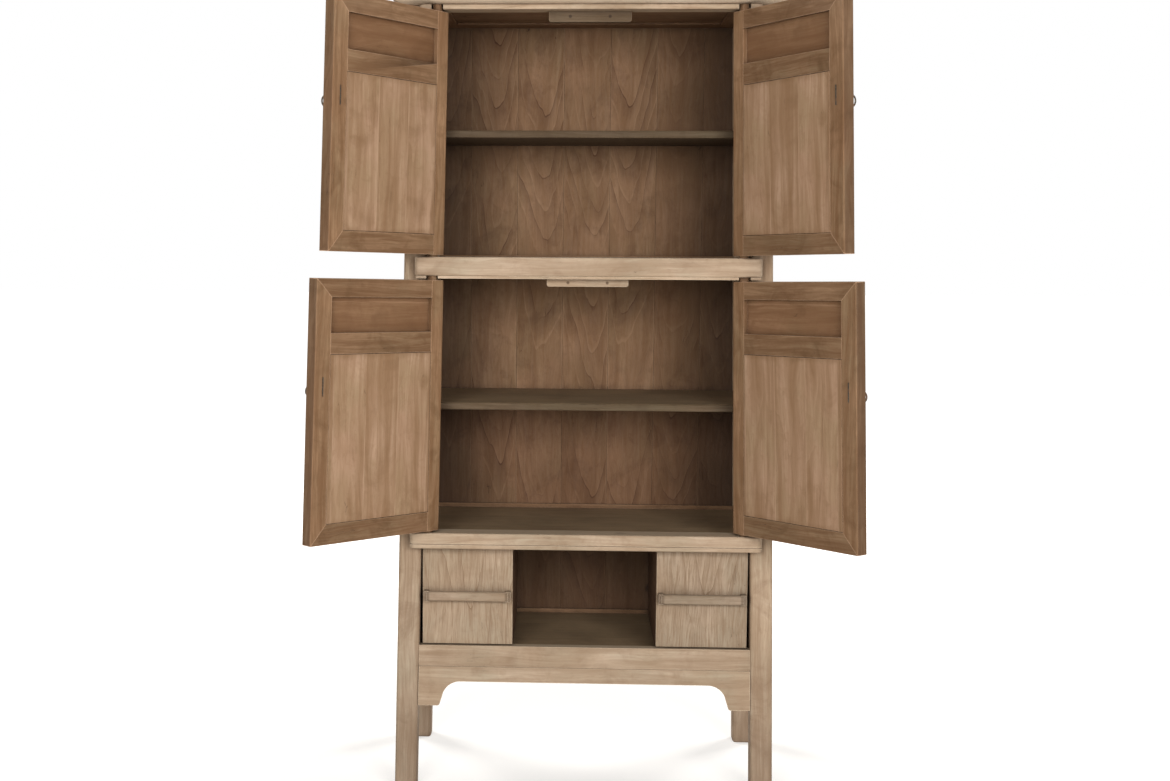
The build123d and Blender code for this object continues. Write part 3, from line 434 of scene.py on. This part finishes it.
def borderStain(add, point, height, above, stain, border):
    # polish and dirt gather along the edge of a field that is wiped in its middle
    halfWidth, foot, head = border
    across = add("SeparateXYZ", {0: point})
    fromMiddle = add("Math", {0: across.outputs["Y"]}, operation="ABSOLUTE")
    fromSide = add("Math", {0: halfWidth, 1: fromMiddle}, operation="SUBTRACT")
    fromFoot = add("Math", {0: height, 1: foot}, operation="SUBTRACT")
    fromHead = add("Math", {0: head, 1: height}, operation="SUBTRACT")
    fromEnd = add("Math", {0: fromFoot, 1: fromHead}, operation="MINIMUM")
    fromBorder = add("Math", {0: fromSide, 1: fromEnd}, operation="MINIMUM")
    ragged = add("Math", {0: stain, 1: elmSurface["borderRagged"] / 1000, 2: fromBorder},
                 operation="MULTIPLY_ADD")
    starts, stops = (distance / 1000 for distance in elmSurface["border"])
    gathered = add("MapRange", {"Value": ragged, "From Min": starts, "From Max": stops,
                                "To Min": elmShades["border"], "To Max": 0.0},
                   interpolation_type="SMOOTHSTEP")
    below = add("Math", {0: 1.0, 1: above}, operation="SUBTRACT")
    return add("Math", {0: gathered, 1: below}, operation="MULTIPLY")


# painted shade: the faces of a door that look sideways are darker
def shadeFlanks(add, place, home, amount):
    sideways = home.to_3x3().inverted() @ Vector((1, 0, 0))
    flank = add("VectorMath", {0: place.outputs["Normal"], 1: sideways}, operation="DOT_PRODUCT")
    flank = add("Math", {0: flank.outputs["Value"]}, operation="ABSOLUTE")
    starts, full = elmHandling["flank"]
    return add("MapRange", {"Value": flank, "From Min": starts, "From Max": full, "To Max": amount})


def handling(add, options, mottle, patches):
    # hands and cloths rub the arrises pale, dust lies on what faces up, and the corners are darkened by
    # painted shade mixed with dirt
    shape = add("NewGeometry")
    rounded = add("Bevel", {"Radius": options["arris"] / 1000}, samples=4)
    bend = add("VectorMath", {0: rounded, 1: shape.outputs["Normal"]}, operation="DOT_PRODUCT")
    starts, full = elmHandling["bend"]
    worn = add("MapRange", {"Value": bend.outputs["Value"], "From Min": starts, "From Max": full})
    # painted shade: occlusion darkens the corners, mottled with dirt
    shade = add("AmbientOcclusion", {"Distance": elmHandling["corner"] / 1000}, samples=4)
    full, gone = elmHandling["open"]
    corner = add("MapRange", {"Value": shade.outputs["AO"], "From Min": full, "From Max": gone,
                              "To Min": 1.0, "To Max": 0.0})
    clear = add("Math", {0: 1.0, 1: corner}, operation="SUBTRACT")
    starts, full = elmPatterns["rubbing"]
    least, most = elmHandling["rubbing"]
    rubbing = add("MapRange", {"Value": mottle, "From Min": starts, "From Max": full,
                               "To Min": least, "To Max": most})
    for factor in (rubbing, clear, options["wear"]):
        worn = add("Math", {0: worn, 1: factor}, operation="MULTIPLY", use_clamp=True)
    facing = add("SeparateXYZ", {0: shape.outputs["Normal"]})
    starts, full = elmHandling["level"]
    level = add("MapRange", {"Value": facing.outputs["Z"], "From Min": starts, "From Max": full,
                             "To Max": elmHandling["dust"]})
    starts, full = elmPatterns["swept"]
    swept = add("MapRange", {"Value": patches.outputs["Red"], "From Min": starts, "From Max": full,
                             "To Min": 1.0, "To Max": elmHandling["swept"]})
    dust = add("Math", {0: level, 1: swept}, operation="MULTIPLY")
    starts, full = elmPatterns["grime"]
    least, most = elmHandling["dirtAndShade"]
    grime = add("MapRange", {"Value": mottle, "From Min": starts, "From Max": full,
                             "To Min": least, "To Max": most})
    dirtAndShade = add("Math", {0: corner, 1: grime}, operation="MULTIPLY")
    return worn, dust, dirtAndShade


def darkenFeet(add, spot, patches, height):
    # feet are greyed and darker towards the floor; noise adds half its reach on the average
    ragged = elmSurface["darkFootRagged"]
    upright = add("SeparateXYZ", {0: spot})
    level = add("Math", {0: patches.outputs["Red"], 1: ragged, 2: upright.outputs["Z"]},
                operation="MULTIPLY_ADD")
    return add("MapRange", {"Value": level, "From Min": ragged / 2, "From Max": ragged / 2 + height / 1000,
                            "To Min": elmShades["darkFoot"], "To Max": 0.0})


def elm(name, look, cut, along, facing, centre, home, options):
    # centre is the middle of the piece in the shut cabinet, and home is the turn that shuts its door
    material, add = newMaterial(name)
    dice = random.Random(name)
    cut = cuts[cut]
    surface = elmSurface
    place = add("TexCoord")
    spot = place.outputs["Object"]
    begin = Vector((dice.uniform(-surface["log"], surface["log"]), 0, 0))
    turn = grainTurn(along, facing)
    lowPoint = placeInBoard(add, spot, home, turn, begin - turn @ centre)
    point = lowPoint
    colours = {key: linear(value) for key, value in elmLooks[look].items()}
    if options["upper"]:
        level, upperLook, upperAlong = options["upper"]
        shut = add("SeparateXYZ", {0: placeInBoard(add, spot, home)})
        above = add("Math", {0: shut.outputs["Z"], 1: level}, operation="GREATER_THAN")
        turn = grainTurn(upperAlong, facing)
        highPoint = placeInBoard(add, spot, home, turn, begin - turn @ centre)
        point = add("Mix", {"Factor": above, "A": lowPoint, "B": highPoint}, data_type="VECTOR")
        colours = mixLooks(add, above, colours, upperLook)
    inner = 1.0
    if options["outside"]:
        outer = bleachedFace(add, place, options)
        inner = add("Math", {0: 1.0, 1: outer}, operation="SUBTRACT")
        colours = mixLooks(add, outer, colours, "bleached")
    if options["boards"]:
        point, plank, seam = intoPlanks(add, point, options["boards"])

    # slow wander of the grain, patches of tone, mottle and old stains
    wander = alongGrain(add, point, *surface["wander"], 3.0, 0.5)
    patch = add("TexNoise", {"Vector": point, "Scale": 1000 / surface["patch"], "Detail": 4.0,
                             "Roughness": 0.6, "Distortion": 0.4})
    patches = add("SeparateColor", {0: patch.outputs["Color"]})
    mottle = add("TexNoise", {"Vector": point, "Scale": 1000 / surface["mottle"], "Detail": 3.0,
                              "Roughness": 0.6})
    stain = add("TexNoise", {"Vector": point, "Scale": 1000 / surface["stain"], "Detail": 5.0,
                             "Roughness": 0.65, "Distortion": 0.8})
    swing = (0, surface["sway"] * cut["waver"] / 1000, surface["sway"] * cut["waver"] / 1000)
    centred = add("VectorMath", {0: wander.outputs["Color"], 1: (0.5, 0.5, 0.5)}, operation="SUBTRACT")
    sway = add("VectorMath", {0: centred, 1: swing}, operation="MULTIPLY")
    swayed = add("VectorMath", {0: point, 1: sway}, operation="ADD")

    ring, shine = yearRings(add, point, swayed, patches, cut)
    band = alongGrain(add, swayed, cut["band"], surface["bandLength"], 3.0, 0.55)
    thread = alongGrain(add, swayed, cut["thread"], surface["threadLength"], 3.0, 0.65)
    pore = alongGrain(add, swayed, *surface["pore"], 2.0, 0.6)  # drawn coarser, so that they show
    flaw = cracksAndKnots(add, point, band, patches)

    noises = {"pale": patches.outputs["Red"], "cool": patches.outputs["Green"], "bands": band,
              "threads": thread, "pores": pore, "specks": mottle, "stains": stain}
    shades = {**elmShades, **cut}
    shown = {}
    for key, noise in noises.items():
        starts, full = elmPatterns[key]
        shown[key] = add("MapRange", {"Value": noise, "From Min": starts, "From Max": full,
                                      "To Max": shades[key]})
    poreColour = add("Math", {0: shown["pores"], 1: shades["poreColour"]}, operation="MULTIPLY")
    flawColour = add("Math", {0: flaw, 1: shades["flaws"]}, operation="MULTIPLY")

    # where each colour shows, one over another
    layers = [(shown["pale"], "pale"), (shown["cool"], "cool"), (shown["bands"], "deep"),
              (shown["threads"], "deep"), (shine, "worn"), (ring, "line"), (poreColour, "line"),
              (shown["specks"], "deep"), (shown["stains"], "line"), (flawColour, "dirtAndShade")]
    if options["boards"]:
        plankTone = add("MapRange", {"Value": plank, "To Max": shades["planks"]})
        starts, full = elmPatterns["seams"]
        patchy = add("MapRange", {"Value": patches.outputs["Blue"], "From Min": starts, "From Max": full,
                                  "To Max": shades["seams"] * options["wear"]})
        rubbedSeam = add("Math", {0: seam, 1: patchy}, operation="MULTIPLY")
        layers += [(plankTone, "deep"), (rubbedSeam, "worn")]
    # darker ends: painted shade on the back boards and shelves, end grain on the grips
    if options["ends"]:
        layers.append((darkEnds(add, spot, centre, options["ends"], inner), "dirtAndShade"))
    # painted shade below a height
    if options["shadedBelow"]:
        layers.append((paintShadeBelow(add, spot, options["shadedBelow"], inner), "dirtAndShade"))
    if options["pegs"]:
        layers.append((pegEnds(add, spot, centre, options["pegs"]), "dirtAndShade"))
    if options["border"]:
        gathered = borderStain(add, lowPoint, shut.outputs["Z"], above, stain, options["border"])
        layers.append((gathered, "line"))
    if options["flanks"]:
        layers.append((shadeFlanks(add, place, home, options["flanks"]), "dirtAndShade"))
    worn, dust, dirtAndShade = handling(add, options, mottle, patches)
    layers += [(worn, "worn"), (dust, "dust"), (dirtAndShade, "dirtAndShade")]
    if options["darkFoot"]:
        colours["darkFoot"] = linear(surface["darkFootColour"])
        layers.append((darkenFeet(add, spot, patches, options["darkFoot"]), "darkFoot"))
    colour = colours["main"]
    for amount, key in layers:
        colour = add("Mix", {"Factor": amount, "A": colour, "B": colours[key]}, data_type="RGBA")
    tone = options["tone"] + dice.uniform(-surface["toneSpread"], surface["toneSpread"])
    colour = add("HueSaturation", {"Color": colour, "Value": 1.0 + tone})

    # the soft early wood is worn lower than the late wood, and cracks and pores are open
    height = 0.0
    depths = ((thread, "threadDepth"), (ring, "ringDepth"), (shown["pores"], "poreDepth"), (flaw, "flawDepth"))
    for part, depth in depths:
        height = add("Math", {0: part, 1: surface[depth], 2: height}, operation="MULTIPLY_ADD")
    bump = add("Bump", {"Strength": surface["reliefStrength"], "Distance": surface["relief"] / 1000,
                        "Height": height})
    starts, full = elmPatterns["rough"]
    smooth, coarse = surface["rough"]
    rough = add("MapRange", {"Value": thread, "From Min": starts, "From Max": full,
                             "To Min": smooth, "To Max": coarse})
    wood = add("BsdfPrincipled", {"Base Color": colour, "Roughness": rough, "IOR": surface["ior"],
                                  "Specular IOR Level": surface["gloss"], "Normal": bump})
    add("OutputMaterial", {"Surface": wood})
    return material


# Forged iron, wiped with oil and long since dull: grey brown, pitted, with rust in its low places

iron = {
    "bare": "#6E675C", "dark": "#3B352F", "rust": "#62412C",
    "pit": 2.4, "patch": 11.0,  # mm
    "rusted": 0.75,
    "rough": (0.42, 0.68), "metallic": (0.85, 0.15),  # from pitted to smooth, and from bare to rusted
    "relief": 0.4, "reliefStrength": 0.4,  # mm
}


def forgedIron(look):
    material, add = newMaterial("forgedIron")
    place = add("TexCoord")
    spot = place.outputs["Object"]
    pits = add("TexNoise", {"Vector": spot, "Scale": 1000 / look["pit"], "Detail": 4.0})
    patches = add("TexNoise", {"Vector": spot, "Scale": 1000 / look["patch"], "Detail": 3.0})
    shine = add("MapRange", {"Value": pits, "From Min": 0.35, "From Max": 0.65})
    metal = add("Mix", {"Factor": shine, "A": linear(look["dark"]), "B": linear(look["bare"])},
                data_type="RGBA")
    rust = add("MapRange", {"Value": patches, "From Min": 0.50, "From Max": 0.62, "To Max": look["rusted"]})
    colour = add("Mix", {"Factor": rust, "A": metal, "B": linear(look["rust"])}, data_type="RGBA")
    pitted, smooth = look["rough"]
    rough = add("MapRange", {"Value": pits, "From Min": 0.3, "From Max": 0.7,
                             "To Min": pitted, "To Max": smooth})
    bare, rusted = look["metallic"]
    metallic = add("MapRange", {"Value": rust, "To Min": bare, "To Max": rusted})
    bump = add("Bump", {"Strength": look["reliefStrength"], "Distance": look["relief"] / 1000,
                        "Height": pits})
    surface = add("BsdfPrincipled", {"Base Color": colour, "Roughness": rough, "Metallic": metallic,
                                     "Normal": bump})
    add("OutputMaterial", {"Surface": surface})
    return material


def paint(node, material):
    for slot in nodes[node].material_slots:
        slot.link = "OBJECT"
        slot.material = material


rounding = {"seam": 0.01, "steps": 2, "sharp": 40}  # mm, number and degrees


def soften(node, width):
    # closes the seams of the loaded mesh and rounds its arrises, as use does; width in mm
    piece = nodes[node]
    weld = piece.modifiers.new("closeSeams", "WELD")
    weld.merge_threshold = rounding["seam"] / 1000
    bevel = piece.modifiers.new("wornArris", "BEVEL")
    bevel.width = width / 1000
    bevel.segments = rounding["steps"]
    bevel.limit_method = "ANGLE"
    bevel.angle_limit = math.radians(rounding["sharp"])
    bevel.harden_normals = True


xAxis, yAxis, zAxis = (1, 0, 0), (0, 1, 0), (0, 0, 1)
front, back, up, out = (0, -1, 0), (0, 1, 0), (0, 0, 1), (1, 0, 0)

stopPegs = (0.045, 1.2100, 1.8120, 0.0028)  # metres: from the middle, heights on both stops, radius
# the shelves are painted darker towards their ends: painted shade beside the doors
shelfEnds = (0.26, 0.38, 0.5)
# per piece: look, cut, grain, face, what else differs, and the width in mm of its worn arris
carcass = {
    # painted light: the underside of the cap front takes the palest look
    "cap_front": ("paintedLitUnderside", "straight", xAxis, front, {"outside": (0, -1, 0.5)}, 1.5),
    "cap_back": ("inside", "straight", xAxis, back, {"outside": (0, 1.3, 0.6)}, 1.5),
    "cap_left": ("inside", "straight", yAxis, out, {"outside": (-1.3, 0, 0.6)}, 1.5),
    "cap_right": ("inside", "straight", yAxis, out, {"outside": (1.3, 0, 0.6)}, 1.5),
    "cap_panel": ("inside", "arched", xAxis, up, {"outside": up, "boards": 150}, 1.0),
    "top_rail": ("bleached", "straight", xAxis, front, {"tone": 0.08}, 1.0),
    "mid_rail": ("bleached", "straight", xAxis, front, {"tone": 0.03}, 1.2),
    "mid_lip": ("bleached", "straight", xAxis, front, {"tone": 0.10}, 0.8),
    "lower_rail": ("bleached", "straight", xAxis, front, {"tone": 0.02}, 1.2),
    "bottom_rail": ("bleached", "straight", xAxis, front, {"tone": -0.04}, 1.2),
    "apron": ("bleached", "straight", xAxis, front, {"tone": 0.02, "wear": 1.4}, 1.2),
    "side_aprons": ("bleached", "straight", yAxis, out, {}, 1.2),
    "side_rails": ("bleached", "straight", yAxis, out, {}, 1.2),
    "side_panels": ("inside", "arched", zAxis, out, {"outside": out, "mirrored": True, "boards": 180}, 0.8),
    "back_rails": ("inside", "straight", xAxis, back, {"outside": back}, 1.0),
    # back boards: painted shade towards their ends beside the doors, and painted shade of the open niche below
    # 0.60 m
    "back_boards": ("insideLow", "arched", zAxis, back,
                    {"outside": back, "boards": 117, "arris": 1.2, "ends": (0.18, 0.40, 0.75),
                     "shadedBelow": (0.60, 0.4), "upper": (0.91, "inside", zAxis)}, 0.5),
    "upper_floor": ("shelf", "faint", xAxis, up, {"boards": 140}, 0.8),
    "lower_floor": ("shelf", "faint", xAxis, up, {"boards": 140}, 0.8),
    "niche_floor": ("shelf", "faint", xAxis, up, {"boards": 140}, 0.8),
    "upper_shelf": ("shelf", "straight", xAxis, up, {"tone": -0.15, "arris": 1.5, "ends": shelfEnds}, 1.2),
    "lower_shelf": ("shelf", "straight", xAxis, up, {"arris": 1.5, "ends": shelfEnds}, 1.2),
    "shelf_cleats": ("inside", "straight", yAxis, out, {}, 1.0),
    "door_stops": ("bleached", "straight", xAxis, front,
                   {"upper": (1.5, "shelf", xAxis), "pegs": stopPegs}, 1.2),
    # painted shade: the walls of the open niche are toned much darker
    "partitions": ("insideLow", "straight", yAxis, out, {"tone": -0.4}, 1.0),
    "drawer_runners": ("inside", "straight", yAxis, up, {}, 1.0),
}
legs = {
    "lean": 1.08,  # degrees
    "darkFoot": 350.0, "arris": 1.5,  # mm
    "tone": {"left": -0.06, "right": 0.01},
}
drawers = {
    "front": ("bleached", "combed", zAxis, front, {"tone": -0.02, "arris": 1.8, "wear": 1.3}, 0.8),
    "box": ("inside", "straight", yAxis, out, {}, 1.0),
    "grip": ("bleached", "straight", xAxis, front, {"tone": -0.15, "ends": (0.087, 0.091, 0.45)}, 1.0),
}
drawerTones = {"left": -0.01, "right": -0.16}
doors = {
    "hinge_stile": ("frame", "rubbed", zAxis, front, {"tone": 0.14, "wear": 1.3}, 1.2),
    # the free stile's sideways faces carry painted shade
    "free_stile": ("frame", "rubbed", zAxis, front, {"tone": 0.10, "wear": 1.3, "flanks": 0.45}, 0.8),
    "door_rails": ("frame", "rubbed", xAxis, front, {"tone": -0.09, "wear": 1.3}, 0.8),
    "door_panels": ("panel", "faint", zAxis, front, {"boards": 95, "arris": 1.5, "wear": 0.5}, 0.6),
}
doorTones = {"upper_left": 0.08, "lower_left": 0.06, "upper_right": -0.02, "lower_right": -0.06}
# metres on a shut door: the middle of its lock rail, and the foot and head of its tall panel
doorHeights = {"upper": (1.679, 1.315, 1.659), "lower": (1.074, 0.674, 1.054)}
panelTongue = 0.007  # metres, how far a panel laps into its frame


def dress(node, recipe, home=Matrix.Identity(4), **more):
    look, cut, along, facing, extras, width = recipe
    corners = [home @ vertex.co for vertex in nodes[node].data.vertices]
    low = Vector(min(corner[i] for corner in corners) for i in range(3))
    high = Vector(max(corner[i] for corner in corners) for i in range(3))
    options = {**elmOptions, **extras, **more}
    options["tone"] = extras.get("tone", 0.0) + more.get("tone", 0.0)
    if options["border"]:
        options["border"] = ((high.x - low.x) / 2 - panelTongue, *options["border"])
    paint(node, elm("elm_" + node, look, cut, along, facing, (low + high) / 2, home, options))
    soften(node, width)


for node, recipe in carcass.items():
    dress(node, recipe)
lean = math.radians(legs["lean"])
for side, sign in (("left", -1), ("right", 1)):
    grain = (-sign * math.sin(lean), 0, math.cos(lean))
    extras = {"darkFoot": legs["darkFoot"], "tone": legs["tone"][side]}
    leg = ("bleached", "rubbed", grain, front, extras, legs["arris"])
    for end in ("front", "back"):
        dress(f"leg_{end}_{side}", leg)
print("carcass dressed")

for side in ("left", "right"):
    for piece, recipe in drawers.items():
        dress(f"drawer_{piece}_{side}", recipe, tone=drawerTones[side])
print("drawers dressed")

metal = forgedIron(iron)
for storey in ("upper", "lower"):
    lockRail, foot, head = doorHeights[storey]
    for side in ("left", "right"):
        # the turn that shuts this door, so that its grain runs as it was planed
        joint = joints[f"door_{storey}_{side}_hinge"]
        pivot = Matrix.Translation(joint["pos_m"])
        swing = Matrix.Rotation(math.radians(joint["range_deg"][0]), 4, Vector(joint["axis"]))
        home = pivot @ swing @ pivot.inverted()
        faceOut = tuple(home.to_3x3().inverted() @ Vector(front))
        for piece, recipe in doors.items():
            more = {"outside": faceOut, "tone": doorTones[f"{storey}_{side}"]}
            if piece == "door_panels":
                more["upper"] = (lockRail, "smallPanel", xAxis)
                more["border"] = (foot, head)
            dress(f"{piece}_{storey}_{side}", recipe, home, **more)
        paint(f"pull_mount_{storey}_{side}", metal)
        paint(f"pull_ring_{storey}_{side}", metal)
print("doors dressed")
